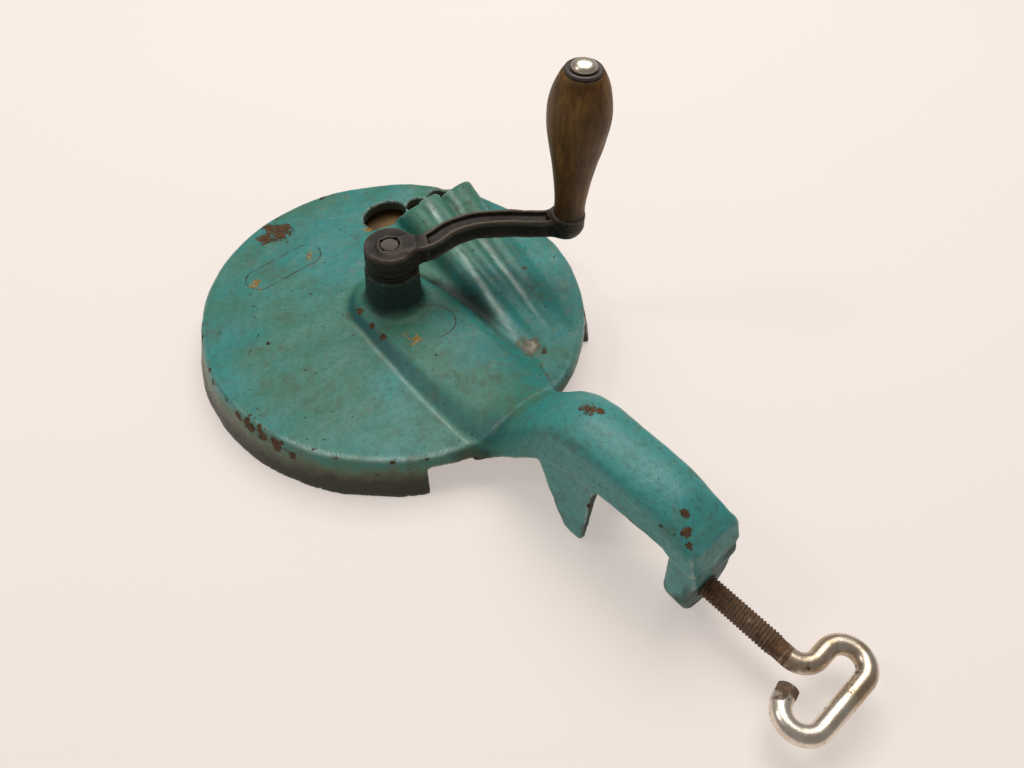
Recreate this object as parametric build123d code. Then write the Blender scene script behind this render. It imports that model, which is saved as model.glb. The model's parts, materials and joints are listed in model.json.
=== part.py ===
from build123d import *
import math
import os

# Bean slicer with a table clamp and a hand crank, lying on the open rim of its drum.
# +Z is the crank axis, z = 0 is the plane of the rim, and the clamp arm points along -Y.
# All sizes are in millimetres.

# Drum
RIM_RADIUS = 96.6
EDGE_RADIUS = 91.3
EDGE_ROUND = 2.5
FACE_TOP = 21.8
PLATE = 6.0
SKIRT_WALL = 4.0
GAP_START = -120.0
GAP_END = -45.0
GAP_TOP = 14.8

# Raised spine and shaft boss
SPINE_HEIGHT = 5.0
SPINE_FOOT = 26.8
SPINE_TOP = 18.6
SPINE_END = -86.0
BOSS_RADIUS = 12.8
BOSS_FLARE = 4.0
BOSS_TOP = 47.0

# Feed flutes: (mouth x, mouth y, mouth radius, tail x, tail radius, entry x, entry y, entry radius)
FLUTES = (
    (43.8, 38.0, 7.6, 32.5, 5.5, 37.0, 54.0, 7.6),
    (55.3, 40.0, 5.8, 42.0, 4.5, 54.5, 49.0, 5.3),
    (72.0, 37.0, 9.8, 50.0, 6.0, 66.5, 46.0, 8.0),
)
FLUTE_CREST = FACE_TOP + 14.0
FLUTE_TAIL_Y = -60.0
FLUTE_TAIL_CREST = FACE_TOP + 1.0
FLUTE_WALL = 3.0
FLUTE_MOUTH_RUN = 6.0

# Clamp arm, as sections across Y: (y, underside z, crown z, half width below, half width above)
ARM_SECTIONS = (
    (-78.0, 16.4, 28.6, 28.5, 17.6),
    (-86.0, 15.7, 30.4, 28.0, 16.8),
    (-92.0, 15.5, 33.0, 24.8, 15.7),
    (-98.0, 18.0, 38.2, 22.0, 14.8),
    (-104.0, 22.0, 44.3, 20.0, 14.0),
    (-112.0, 29.0, 52.8, 17.6, 13.3),
    (-122.0, 36.0, 58.8, 15.7, 12.9),
    (-135.0, 39.0, 61.0, 14.7, 12.6),
    (-165.0, 41.0, 60.4, 14.0, 12.4),
    (-178.0, 40.0, 58.6, 13.7, 12.2),
    (-191.7, 31.0, 50.3, 13.3, 12.0),
    (-198.0, 22.0, 34.0, 13.0, 12.4),
)
ARM_CROWN = 7.0
ARM_WALL = 4.5

# Clamp jaw: two fins on the arm's side walls face the screw leg
JAW_Y = -145.0
FIN_INNER = 11.2
FIN_OUTER = 16.8
LEG_INNER_Y = -183.0
LEG_OUTER_Y = -198.0
LEG_HALF = 13.0
LEG_ROUND = 12.5

# Clamp screw, bent at its outer end into an open loop
SCREW_Z = 17.0
SCREW_RADIUS = 4.75
SCREW_CLEARANCE = 0.05
THREAD_END_Y = -231.0
WIRE_RADIUS = 4.15
LOOP_NEAR_Y = -244.2
LOOP_FAR_Y = -260.7
LOOP_HALF = 21.4
LOOP_BEND = 8.2
LOOP_TIP_X = -9.0
PAD_RADIUS = 5.0
PAD_THICK = 2.0
TIP_RADIUS = 2.0

# Crank shaft, from its threaded end upwards
SHAFT_END = 0.8
SHAFT_THREAD_TOP = 7.2
SHAFT_THREAD_RADIUS = 4.0
SHAFT_SQUARE = 8.0
SHAFT_RADIUS = 6.0
SHAFT_CLEARANCE = 0.05
SHAFT_SHOULDER = 13.4
PEEN_RADIUS = 3.85
PEEN_HEIGHT = 1.0
PEEN_GAP = 0.8
PEEN_DROP = 0.2

# Knife disc and what holds it
DISC_RADIUS = 84.0
DISC_BOTTOM = 9.6
DISC_TOP = 12.4
HUB_RADIUS = 15.0
KNIFE_COUNT = 3
KNIFE_INNER = 26.0
KNIFE_LENGTH = 54.0
KNIFE_WIDTH = 15.0
KNIFE_THICK = 1.6
KNIFE_BEVEL = 3.0
KNIFE_OVERHANG = 4.5
KNIFE_ANGLE = 30.0
SLOT_WIDTH = 9.0
SCREW_HEAD = 3.6
SCREW_SHANK = 2.0
SCREW_INSET = 9.0
NUT_FLATS = 13.0
NUT_BOTTOM = 1.4
WASHER_RADIUS = 9.0
WASHER_THICK = 1.2
THRUST_RADIUS = 12.0

# Crank and its handle
CRANK_REACH = 85.5
CRANK_ANGLE = -27.0
CRANK_BOTTOM = BOSS_TOP + 0.1
CRANK_TOP = 60.8
CRANK_UNDER = 50.5
CRANK_WIDTH = 9.5
CRANK_LINE = ((0, -2), (18, -0.5), (30, 6), (42, 8.4), (56, 6.6), (72, 2.4), (CRANK_REACH, 0))
HUB_PROFILE = ((10.9, CRANK_BOTTOM), (11.0, 49.6), (12.0, 51.4), (12.0, 56.5), (11.7, 59.4), (11.0, CRANK_TOP))
BAND_POINTS = 9
GROOVE_WIDTH = 5.0
GROOVE_DEPTH = 2.0
GROOVE_SPAN = (0.19, 0.89)
END_BOSS_RADIUS = 7.9
END_BOSS_BOTTOM = 49.5
END_BOSS_TOP = 62.3
GRIP_BOTTOM = END_BOSS_TOP + 0.1
GRIP_OUTLINE = ((7.2, 0), (8.1, 13), (9.9, 27), (12.5, 40), (14.2, 52), (13.6, 61), (11.0, 69.5), (8.8, 74))
GRIP_LENGTH = 74.0
SPINDLE_RADIUS = 3.2
SPINDLE_CLEARANCE = 0.05
CAP_RADIUS = 8.2
CAP_THICK = 1.5
DOME_RADIUS = 5.5
DOME_HEIGHT = 3.2


def disc(radius, bottom, top, x=0.0, y=0.0):
    """Upright cylinder between two heights."""
    return Pos(x, y, (bottom + top) / 2) * Cylinder(radius, top - bottom)


def lathe(points, x=0.0, y=0.0):
    """Solid turned about a vertical axis from (radius, z) points."""
    outline = Polyline(*points, close=True)
    return Pos(x, y, 0) * revolve(Plane.XZ * make_face(outline), Axis.Z)


def rod_y(radius, start, end, z=SCREW_Z):
    """Cylinder along Y in the clamp screw's plane of symmetry."""
    return Pos(0, (start + end) / 2, z) * Rot(90, 0, 0) * Cylinder(radius, end - start)


def on_crank(shape):
    """Turn a shape drawn along +X to the crank's resting direction."""
    return Rot(0, 0, CRANK_ANGLE) * shape


# Housing

def drum():
    """Face plate and flaring skirt of the drum, open below."""
    under = FACE_TOP - PLATE
    return lathe((
        (0, under),
        (0, FACE_TOP),
        (EDGE_RADIUS - EDGE_ROUND, FACE_TOP),
        (EDGE_RADIUS - EDGE_ROUND * 0.3, FACE_TOP - EDGE_ROUND * 0.3),
        (EDGE_RADIUS + 0.3, FACE_TOP - EDGE_ROUND),
        (RIM_RADIUS, 0),
        (RIM_RADIUS - SKIRT_WALL, 0),
        (EDGE_RADIUS - SKIRT_WALL, under),
    ))


def skirt_gap():
    """Sector of the skirt that is left out around the clamp arm."""
    far = RIM_RADIUS + 10
    ring = disc(far, -1, GAP_TOP) - disc(EDGE_RADIUS - SKIRT_WALL - 3, -2, GAP_TOP + 1)
    middle = math.radians((GAP_START + GAP_END) / 2)
    corners = [(0, 0)]
    for angle in (GAP_START, GAP_END):
        a = math.radians(angle)
        corners.append((far * math.cos(a), far * math.sin(a)))
        if angle == GAP_START:
            corners.append((2 * far * math.cos(middle), 2 * far * math.sin(middle)))
    wedge = extrude(Pos(0, 0, -1) * make_face(Polyline(*corners, close=True)), GAP_TOP + 1)
    return ring & wedge


def spine_face(half, z):
    """Outline of the raised spine at one height: straight sides and a round head."""
    edges = [
        Line((-half, SPINE_END), (-half, 0)),
        ThreePointArc((-half, 0), (0, half), (half, 0)),
        Line((half, 0), (half, SPINE_END)),
        Line((half, SPINE_END), (-half, SPINE_END)),
    ]
    return Pos(0, 0, z) * make_face(edges)


def spine():
    """Raised web that runs from the shaft boss to the clamp arm."""
    foot = spine_face(SPINE_FOOT, FACE_TOP)
    top = spine_face(SPINE_TOP, FACE_TOP + SPINE_HEIGHT)
    return loft([foot, top], ruled=True) + extrude(Pos(0, 0, -2) * foot, 2)


def shaft_boss():
    """Turned boss around the shaft, flaring into the spine."""
    foot = FACE_TOP + SPINE_HEIGHT
    return lathe((
        (0, foot - 4),
        (BOSS_RADIUS + BOSS_FLARE, foot - 4),
        (BOSS_RADIUS + BOSS_FLARE, foot),
        (BOSS_RADIUS + 1, foot + 2),
        (BOSS_RADIUS, foot + 5),
        (BOSS_RADIUS, BOSS_TOP),
        (0, BOSS_TOP),
    ))


def flute_loft(flute, inset, mouth_run):
    """Slanting round flute; inset shrinks it to its hollow."""
    mouth_x, mouth_y, mouth_r, tail_x, tail_r = flute[:5]
    mouth = Plane(origin=(mouth_x, mouth_y + mouth_run, FLUTE_CREST - mouth_r), z_dir=(0, 1, 0))
    tail = Plane(origin=(tail_x, FLUTE_TAIL_Y + inset * 4, FLUTE_TAIL_CREST - tail_r), z_dir=(0, 1, 0))
    return loft([tail * Circle(tail_r - inset), mouth * Circle(mouth_r - inset)], ruled=True)


def flute_body(flute):
    """Outside of one flute, filled down to the face plate."""
    tube = flute_loft(flute, 0, 0)
    floor = disc(EDGE_RADIUS, FACE_TOP - 3, FLUTE_CREST + 1)
    return tube & floor


def flute_hollow(flute):
    """Channel of one flute, through the face plate and out to its entry."""
    mouth_x, mouth_y, mouth_r = flute[:3]
    entry_x, entry_y, entry_r = flute[5:]
    channel = flute_loft(flute, FLUTE_WALL, FLUTE_MOUTH_RUN)
    entry = disc(entry_r, FACE_TOP - PLATE - 1, FLUTE_CREST, entry_x, entry_y)
    width = 2 * (mouth_r - FLUTE_WALL)
    start, end = mouth_y - 9, entry_y
    throat = Box(width, end - start, 2 * PLATE + 1)
    return channel + entry + Pos((entry_x + mouth_x) / 2, (start + end) / 2, FACE_TOP - 1) * throat


def arm_face(section, inset=0.0):
    """Section of the clamp arm: flaring walls under a crowned top."""
    y, low, crown, wide, narrow = section
    low = low - (1.0 if inset else 0.0)
    wide, narrow, crown = wide - inset, narrow - inset, crown - inset
    shoulder = crown - ARM_CROWN
    edges = [
        Line((-wide, low), (-narrow, shoulder)),
        ThreePointArc((-narrow, shoulder), (0, crown), (narrow, shoulder)),
        Line((narrow, shoulder), (wide, low)),
        Line((wide, low), (-wide, low)),
    ]
    return Plane((0, y, 0), x_dir=(1, 0, 0), z_dir=(0, -1, 0)) * make_face(edges)


def clamp_arm():
    """Arched channel-section arm from the spine to the screw leg."""
    outside = loft([arm_face(s) for s in ARM_SECTIONS], ruled=True)
    inner = [s for s in ARM_SECTIONS if LEG_INNER_Y < s[0] < -100]
    inside = loft([arm_face(s, ARM_WALL) for s in inner], ruled=True)
    return outside - inside


def fins():
    """Pair of pointed fins that bear on the table's edge."""
    side = Polyline(
        (JAW_Y, 44), (JAW_Y, 3), (JAW_Y + 1.5, 0.6), (JAW_Y + 4.5, 0.4), (-134, 2), (-129, 9),
        (-124.5, 18), (-119, 31), (-114, 38), close=True)
    blade = extrude(Plane.YZ * make_face(side), FIN_OUTER - FIN_INNER)
    return [Pos(x, 0, 0) * blade for x in (FIN_INNER, -FIN_OUTER)]


def screw_leg():
    """Leg that carries the clamp screw, rounded below about the screw's axis."""
    edges = [
        ThreePointArc((-LEG_ROUND, SCREW_Z), (0, SCREW_Z - LEG_ROUND), (LEG_ROUND, SCREW_Z)),
        Line((LEG_ROUND, SCREW_Z), (LEG_HALF, 42)),
        Line((LEG_HALF, 42), (-LEG_HALF, 42)),
        Line((-LEG_HALF, 42), (-LEG_ROUND, SCREW_Z)),
    ]
    face = Plane((0, LEG_INNER_Y, 0), x_dir=(1, 0, 0), z_dir=(0, -1, 0)) * make_face(edges)
    return extrude(face, LEG_INNER_Y - LEG_OUTER_Y)


def housing():
    """One enamelled iron casting: drum, spine, flutes, boss and clamp arm."""
    body = drum() - skirt_gap() + spine() + shaft_boss()
    for flute in FLUTES:
        body += flute_body(flute)
    for flute in FLUTES:
        body -= flute_hollow(flute)
    body += clamp_arm()
    body += screw_leg()
    for fin in fins():
        body += fin
    body -= disc(SHAFT_RADIUS + SHAFT_CLEARANCE, FACE_TOP - PLATE - 5, BOSS_TOP + 1)
    body -= rod_y(SCREW_RADIUS + SCREW_CLEARANCE, LEG_OUTER_Y - 2, LEG_INNER_Y + 2)
    return body


# Shaft, disc and knives

def drive_shaft():
    """Shaft: threaded end, square seat, journal, square for the crank and a peened end."""
    square_top = CRANK_TOP - PEEN_HEIGHT - PEEN_DROP
    shaft = disc(SHAFT_THREAD_RADIUS, SHAFT_END, SHAFT_THREAD_TOP)
    shaft += square_bar(SHAFT_SQUARE, SHAFT_THREAD_TOP, SHAFT_SHOULDER)
    shaft += disc(SHAFT_RADIUS, SHAFT_SHOULDER, CRANK_BOTTOM)
    shaft += on_crank(square_bar(SHAFT_SQUARE, CRANK_BOTTOM, square_top))
    return shaft + disc(PEEN_RADIUS, square_top, square_top + PEEN_HEIGHT)


def square_bar(across, bottom, top):
    """Upright square bar."""
    return Pos(0, 0, (bottom + top) / 2) * Box(across, across, top - bottom)


def knife_place(index):
    """Location of a knife: its inner end, with its length along the disc's radius."""
    return Rot(0, 0, KNIFE_ANGLE + 360 * index / KNIFE_COUNT) * Pos(KNIFE_INNER, 0, 0)


def knife_screw_spots():
    """Screw positions along a knife, from its inner end."""
    return (SCREW_INSET, KNIFE_LENGTH - SCREW_INSET)


def knife_disc():
    """Disc with a hub, and a slot under each knife's edge for the slices."""
    body = disc(DISC_RADIUS, DISC_BOTTOM, DISC_TOP)
    body += disc(HUB_RADIUS, SHAFT_THREAD_TOP, SHAFT_SHOULDER)
    body -= square_bar(SHAFT_SQUARE, SHAFT_THREAD_TOP - 1, SHAFT_SHOULDER + 1)
    depth = DISC_TOP - DISC_BOTTOM
    middle = (DISC_TOP + DISC_BOTTOM) / 2
    for index in range(KNIFE_COUNT):
        slot = Pos(KNIFE_LENGTH / 2, SLOT_WIDTH / 2, middle) * Box(KNIFE_LENGTH - 2, SLOT_WIDTH, depth + 2)
        body -= knife_place(index) * slot
        for spot in knife_screw_spots():
            hole = disc(SCREW_SHANK + 0.05, DISC_BOTTOM - 1, DISC_TOP + 1, spot, -KNIFE_WIDTH / 4)
            body -= knife_place(index) * hole
    return body


def knife(index):
    """Flat blade, bevelled along the edge that stands over the slot."""
    top = DISC_TOP + KNIFE_THICK
    front = KNIFE_OVERHANG
    section = Polyline(
        (-KNIFE_WIDTH / 2, DISC_TOP), (front - KNIFE_BEVEL, DISC_TOP), (front, top - 0.1), (front, top),
        (-KNIFE_WIDTH / 2, top), close=True)
    blade = extrude(Plane.YZ * make_face(section), KNIFE_LENGTH)
    for spot in knife_screw_spots():
        blade -= screw_form(spot, 0.05)
    return knife_place(index) * blade


def screw_form(spot, clearance=0.0):
    """Countersunk screw at one spot on a knife, or its hole when given clearance."""
    top = DISC_TOP + KNIFE_THICK
    shank = SCREW_SHANK + clearance
    head = SCREW_HEAD + clearance
    return lathe((
        (0, DISC_BOTTOM),
        (shank, DISC_BOTTOM),
        (shank, top - SCREW_HEAD + SCREW_SHANK),
        (head, top),
        (0, top),
    ), spot, -KNIFE_WIDTH / 4)


def knife_screws():
    """Two countersunk screws for each knife."""
    return Compound(children=[
        knife_place(index) * screw_form(spot)
        for index in range(KNIFE_COUNT) for spot in knife_screw_spots()])


def disc_nut():
    """Hexagon nut on the shaft's threaded end."""
    top = SHAFT_THREAD_TOP - WASHER_THICK
    hexagon = RegularPolygon(NUT_FLATS / 2, 6, major_radius=False)
    nut = extrude(Pos(0, 0, NUT_BOTTOM) * hexagon, top - NUT_BOTTOM)
    return nut - disc(SHAFT_THREAD_RADIUS + SHAFT_CLEARANCE, NUT_BOTTOM - 1, top + 1)


def ring(outer, inner, bottom, top, x=0.0, y=0.0):
    """Flat ring between two heights."""
    return disc(outer, bottom, top, x, y) - disc(inner, bottom - 1, top + 1, x, y)


# Crank and handle

def crank_band(width, bottom, top, first, last):
    """Bar of even width that follows the crank's curved line."""
    line = Spline(*CRANK_LINE)
    sides = ([], [])
    for step in range(BAND_POINTS):
        u = first + (last - first) * step / (BAND_POINTS - 1)
        point, along = line @ u, line % u
        for side, sign in zip(sides, (1, -1)):
            side.append((point.X - sign * along.Y * width / 2, point.Y + sign * along.X * width / 2))
    left, right = sides
    edges = [Spline(*left), Line(left[-1], right[-1]), Spline(*reversed(right)), Line(right[0], left[0])]
    return extrude(Pos(0, 0, bottom) * make_face(edges), top - bottom)


def crank_arm():
    """Cast crank: hub, grooved bar and the boss under the handle."""
    body = lathe(((0, CRANK_BOTTOM), *HUB_PROFILE, (0, CRANK_TOP)))
    body += crank_band(CRANK_WIDTH, CRANK_UNDER, CRANK_TOP, 0.0, 1.0)
    body += lathe((
        (0, END_BOSS_BOTTOM), (5, END_BOSS_BOTTOM + 0.6), (END_BOSS_RADIUS, END_BOSS_BOTTOM + 3.5),
        (END_BOSS_RADIUS, END_BOSS_TOP - 2), (END_BOSS_RADIUS - 0.7, END_BOSS_TOP), (0, END_BOSS_TOP)),
        CRANK_REACH)
    body -= crank_band(GROOVE_WIDTH, CRANK_TOP - GROOVE_DEPTH, CRANK_TOP + 1, *GROOVE_SPAN)
    body -= square_bar(SHAFT_SQUARE, CRANK_BOTTOM - 1, CRANK_TOP)
    body -= disc(PEEN_RADIUS + PEEN_GAP, CRANK_TOP - PEEN_HEIGHT - PEEN_DROP, CRANK_TOP + 1)
    body -= disc(SPINDLE_RADIUS, END_BOSS_BOTTOM - 1, END_BOSS_TOP + 1, CRANK_REACH)
    return on_crank(body)


def handle_grip():
    """Turned wooden grip, bored for the spindle."""
    outline = [(radius, GRIP_BOTTOM + z) for radius, z in GRIP_OUTLINE]
    bore = SPINDLE_RADIUS + SPINDLE_CLEARANCE
    edges = [
        Line((bore, outline[0][1]), outline[0]),
        Spline(*outline),
        Line(outline[-1], (bore, outline[-1][1])),
        Line((bore, outline[-1][1]), (bore, outline[0][1])),
    ]
    grip = revolve(Plane.XZ * make_face(edges), Axis.Z)
    return on_crank(Pos(CRANK_REACH, 0, 0) * grip)


def handle_spindle():
    """Spindle riveted into the crank, with a domed head over the grip."""
    head = GRIP_BOTTOM + GRIP_LENGTH + 0.1 + CAP_THICK
    return on_crank(lathe((
        (0, END_BOSS_BOTTOM), (SPINDLE_RADIUS, END_BOSS_BOTTOM + 0.6), (SPINDLE_RADIUS, head),
        (DOME_RADIUS, head), (DOME_RADIUS - 0.6, head + 1.6), (DOME_RADIUS - 2.6, head + DOME_HEIGHT - 0.4),
        (0, head + DOME_HEIGHT)), CRANK_REACH))


def handle_washer():
    """Dished washer between the spindle's head and the grip."""
    bottom = GRIP_BOTTOM + GRIP_LENGTH + 0.1
    bore = SPINDLE_RADIUS + SPINDLE_CLEARANCE
    return on_crank(ring(CAP_RADIUS, bore, bottom, bottom + CAP_THICK, CRANK_REACH))


# Clamp screw and pad

def clamp_screw():
    """Clamp screw whose outer end is bent into an open loop."""
    rod = rod_y(SCREW_RADIUS, THREAD_END_Y, LEG_INNER_Y + 0.05)
    rod += rod_y(TIP_RADIUS, LEG_INNER_Y, LEG_INNER_Y + PAD_THICK)
    corners = (
        (0, THREAD_END_Y + 1), (0, LOOP_NEAR_Y), (LOOP_HALF, LOOP_NEAR_Y), (LOOP_HALF, LOOP_FAR_Y),
        (-LOOP_HALF, LOOP_FAR_Y), (-LOOP_HALF, LOOP_NEAR_Y), (LOOP_TIP_X, LOOP_NEAR_Y))
    path = Pos(0, 0, SCREW_Z) * FilletPolyline(*corners, radius=LOOP_BEND)
    start = Plane((0, THREAD_END_Y + 1, SCREW_Z), z_dir=(0, -1, 0))
    return rod + sweep(start * Circle(WIRE_RADIUS), path)


def clamp_pad():
    """Swivelling pad on the screw's tip."""
    inner = LEG_INNER_Y + 0.1
    outer = LEG_INNER_Y + PAD_THICK
    return rod_y(PAD_RADIUS, inner, outer) - rod_y(TIP_RADIUS + SCREW_CLEARANCE, inner - 1, outer + 1)


def all_parts():
    """Every node of the assembly by name."""
    washer_top = SHAFT_THREAD_TOP
    washer_bore = SHAFT_THREAD_RADIUS + 0.2
    parts = {
        "housing": housing(),
        "drive_shaft": drive_shaft(),
        "thrust_washer": ring(
            THRUST_RADIUS, SHAFT_RADIUS + SHAFT_CLEARANCE, SHAFT_SHOULDER, FACE_TOP - PLATE - 0.05),
        "knife_disc": knife_disc(),
        "knife_screws": knife_screws(),
        "disc_washer": ring(WASHER_RADIUS, washer_bore, washer_top - WASHER_THICK, washer_top),
        "disc_nut": disc_nut(),
        "crank_arm": crank_arm(),
        "handle_grip": handle_grip(),
        "handle_spindle": handle_spindle(),
        "handle_washer": handle_washer(),
        "clamp_screw": clamp_screw(),
        "clamp_pad": clamp_pad(),
    }
    for index in range(KNIFE_COUNT):
        parts[f"knife_{index + 1}"] = knife(index)
    return parts


os.makedirs("parts", exist_ok=True)
for name, shape in all_parts().items():
    export_step(shape, f"parts/{name}.step")
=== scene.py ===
"""Looks of the bean slicer: cast housing and crank as smooth meshes, turned grip, threaded clamp screw."""

import json
import math

import bmesh
import bpy
import numpy as np
from mathutils import Matrix, Vector


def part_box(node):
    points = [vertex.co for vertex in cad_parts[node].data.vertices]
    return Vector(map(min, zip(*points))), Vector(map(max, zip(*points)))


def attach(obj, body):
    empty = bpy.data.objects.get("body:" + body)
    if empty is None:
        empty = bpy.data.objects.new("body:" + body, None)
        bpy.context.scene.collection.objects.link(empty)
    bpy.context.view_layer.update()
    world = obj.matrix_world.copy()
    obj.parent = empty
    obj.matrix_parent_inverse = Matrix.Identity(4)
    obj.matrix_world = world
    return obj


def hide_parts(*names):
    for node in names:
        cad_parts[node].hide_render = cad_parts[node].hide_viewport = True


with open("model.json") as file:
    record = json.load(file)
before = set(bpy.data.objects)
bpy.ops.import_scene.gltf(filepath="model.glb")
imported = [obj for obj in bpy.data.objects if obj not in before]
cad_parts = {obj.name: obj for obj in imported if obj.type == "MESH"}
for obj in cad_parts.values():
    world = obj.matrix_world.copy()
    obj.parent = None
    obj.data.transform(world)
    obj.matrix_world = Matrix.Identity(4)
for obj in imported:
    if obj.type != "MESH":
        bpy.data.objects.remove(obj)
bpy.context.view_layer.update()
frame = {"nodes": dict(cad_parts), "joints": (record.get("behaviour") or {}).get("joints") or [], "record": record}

MM = 0.001


def node_mm(name):
    """Lowest and highest corner of a CAD node, in millimetres."""
    low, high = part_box(name)
    return np.array(low) / MM, np.array(high) / MM


def joint_mm(name):
    """Position of a hinge, in millimetres."""
    joint = next(j for j in frame["joints"] if j["name"] == name)
    return np.array(joint["pos_m"]) / MM


# Sizes read from the frame, in millimetres
HOUSING_LOW, HOUSING_HIGH = node_mm("housing")
CRANK_LOW, CRANK_HIGH = node_mm("crank_arm")
GRIP_LOW, GRIP_HIGH = node_mm("handle_grip")
CAP_LOW, CAP_HIGH = node_mm("handle_washer")
SPINDLE_LOW, SPINDLE_HIGH = node_mm("handle_spindle")
SCREW_LOW, SCREW_HIGH = node_mm("clamp_screw")
GRIP_AXIS = joint_mm("grip_spin")
SCREW_AXIS = joint_mm("screw_turn")
PITCH = 2 * math.pi / frame["record"]["behaviour"]["couplings"][0]["ratio"] / MM
CRANK_REACH = math.hypot(GRIP_AXIS[0], GRIP_AXIS[1])
CRANK_ANGLE = math.atan2(GRIP_AXIS[1], GRIP_AXIS[0])

# Drum and spine
RIM_RADIUS = HOUSING_HIGH[0]
EDGE_RADIUS = RIM_RADIUS - 5.0
FACE_TOP = 21.8
RIM_CLEAR = 0.05
PLATE = 6.0
SKIRT_WALL = 4.0
GAP_TOP = 14.8
GAP_START = math.radians(-120)
GAP_END = math.radians(-45)
SPINE_SIDE = 28.4
BOSS_TOP = CRANK_LOW[2] - 0.1
BOSS_RADIUS = 12.6

# Flutes: mouth x and y, mouth radius, tail x, tail radius, and the y of the mouth's foot
FLUTES = (
    (43.8, 38.0, 7.6, 32.5, 5.5, 47.0),
    (55.3, 40.0, 5.8, 42.0, 4.5, 48.5),
    (72.0, 37.0, 9.8, 50.0, 6.0, 46.0),
)
FLUTE_CREST = FACE_TOP + 14.0
FLUTE_TAIL_Y = -62.0
FLUTE_WALL = 2.8
ENTRIES = ((36.5, 55.5, 12.3, 9.0), (54.5, 48.5, 6.5, 7.0), (67.5, 47.0, 8.0, 6.5))

# Spine and clamp arm as one loft along -Y: y, lower side, crown, half width below and at the
# shoulder, height of the crown above the shoulder
LOFT = np.array((
    (40, 17.8, 26.8, 27.0, 18.2, 0.6),
    (0, 17.8, 26.8, 27.5, 18.4, 0.6),
    (-20, 17.8, 26.8, 31.0, 18.8, 0.6),
    (-45, 17.8, 26.9, 34.4, 18.6, 0.8),
    (-62, 17.6, 27.2, 36.0, 18.2, 1.3),
    (-76, 16.8, 28.4, 38.0, 17.8, 2.3),
    (-86, 15.7, 30.4, 38.0, 16.8, 3.8),
    (-92, 15.5, 33.0, 28.0, 15.7, 5.0),
    (-98, 18.0, 38.2, 22.0, 15.2, 4.4),
    (-104, 22.0, 44.3, 20.0, 14.9, 4.4),
    (-112, 29.0, 52.8, 17.6, 14.5, 4.4),
    (-122, 36.0, 58.8, 15.9, 14.2, 4.2),
    (-135, 39.0, 60.8, 15.0, 14.0, 4.0),
    (-150, 40.2, 60.8, 14.6, 13.9, 4.0),
    (-165, 41.0, 60.2, 14.4, 13.7, 4.2),
    (-182, 40.0, 58.4, 13.8, 13.0, 5.0),
    (-204, 38.0, 55.0, 13.2, 12.4, 6.0),
))
ARM_WALL = 4.5
LEG_INNER_Y = SCREW_HIGH[1] - 2.0
LEG_OUTER_Y = HOUSING_LOW[1]
LEG_ROUND = 12.5
JAW_Y = -145.0
FIN_SIDE = ((-145, 46), (-145, 3), (-143.6, 0.8), (-141, 0.3), (-134.5, 1.6), (-129.4, 8.6),
            (-124.6, 17), (-120, 26), (-115, 34), (-112, 46))
FIN_OUTER = 16.4

# Crank bar in plan, along the crank's own x axis
CRANK_LINE = np.array(((0, -2), (18, -0.5), (30, 6), (42, 8.4), (56, 6.6), (72, 2.4), (CRANK_REACH, 0)))
CRANK_HALF = 4.75
HUB_HEIGHTS = (47.1, 49.4, 51.6, 56.5, 59.4, 60.8)
HUB_RADII = (10.9, 11.0, 12.1, 12.1, 11.8, 11.4)
CRANK_UNDER = 50.5
CRANK_TOP = 60.8
END_BOSS_RADIUS = 7.9

# Clamp screw
THREAD_END_Y = -231.0
THREAD_ROOT = 4.2
THREAD_DEPTH = 0.5
WIRE_RADIUS = 4.15
SCREW_SIDES = 56
LOOP_NEAR_Y = -244.2
LOOP_FAR_Y = SCREW_LOW[1] + WIRE_RADIUS
LOOP_RIGHT = 13.2
LOOP_LEFT = -13.0


# Mesh helpers

def make_object(name, vertices, faces, smooth=True):
    """Object from millimetre vertices and faces of equal length."""
    mesh = bpy.data.meshes.new(name)
    faces = np.asarray(faces)
    count, size = faces.shape
    mesh.vertices.add(len(vertices))
    mesh.vertices.foreach_set("co", (np.asarray(vertices, np.float64) * MM).ravel())
    mesh.loops.add(count * size)
    mesh.loops.foreach_set("vertex_index", faces.ravel().astype(np.int32))
    mesh.polygons.add(count)
    mesh.polygons.foreach_set("loop_start", np.arange(0, count * size, size, dtype=np.int32))
    mesh.polygons.foreach_set("use_smooth", np.full(count, smooth))
    mesh.update(calc_edges=True)
    mesh.validate()
    obj = bpy.data.objects.new(name, mesh)
    bpy.context.scene.collection.objects.link(obj)
    return obj


def set_attribute(obj, name, values):
    """Per-vertex number that a material reads."""
    layer = obj.data.attributes.new(name, "FLOAT", "POINT")
    layer.data.foreach_set("value", np.asarray(values, np.float32))


def grid_faces(rows, columns, wrap_rows=False, wrap_columns=True):
    """Quads of a grid of vertices stored row by row."""
    row = np.arange(rows if wrap_rows else rows - 1)
    column = np.arange(columns if wrap_columns else columns - 1)
    r, c = np.meshgrid(row, column, indexing="ij")
    r_next, c_next = (r + 1) % rows, (c + 1) % columns
    quads = (r * columns + c, r * columns + c_next, r_next * columns + c_next, r_next * columns + c)
    return np.stack(quads, -1).reshape(-1, 4)


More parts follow.
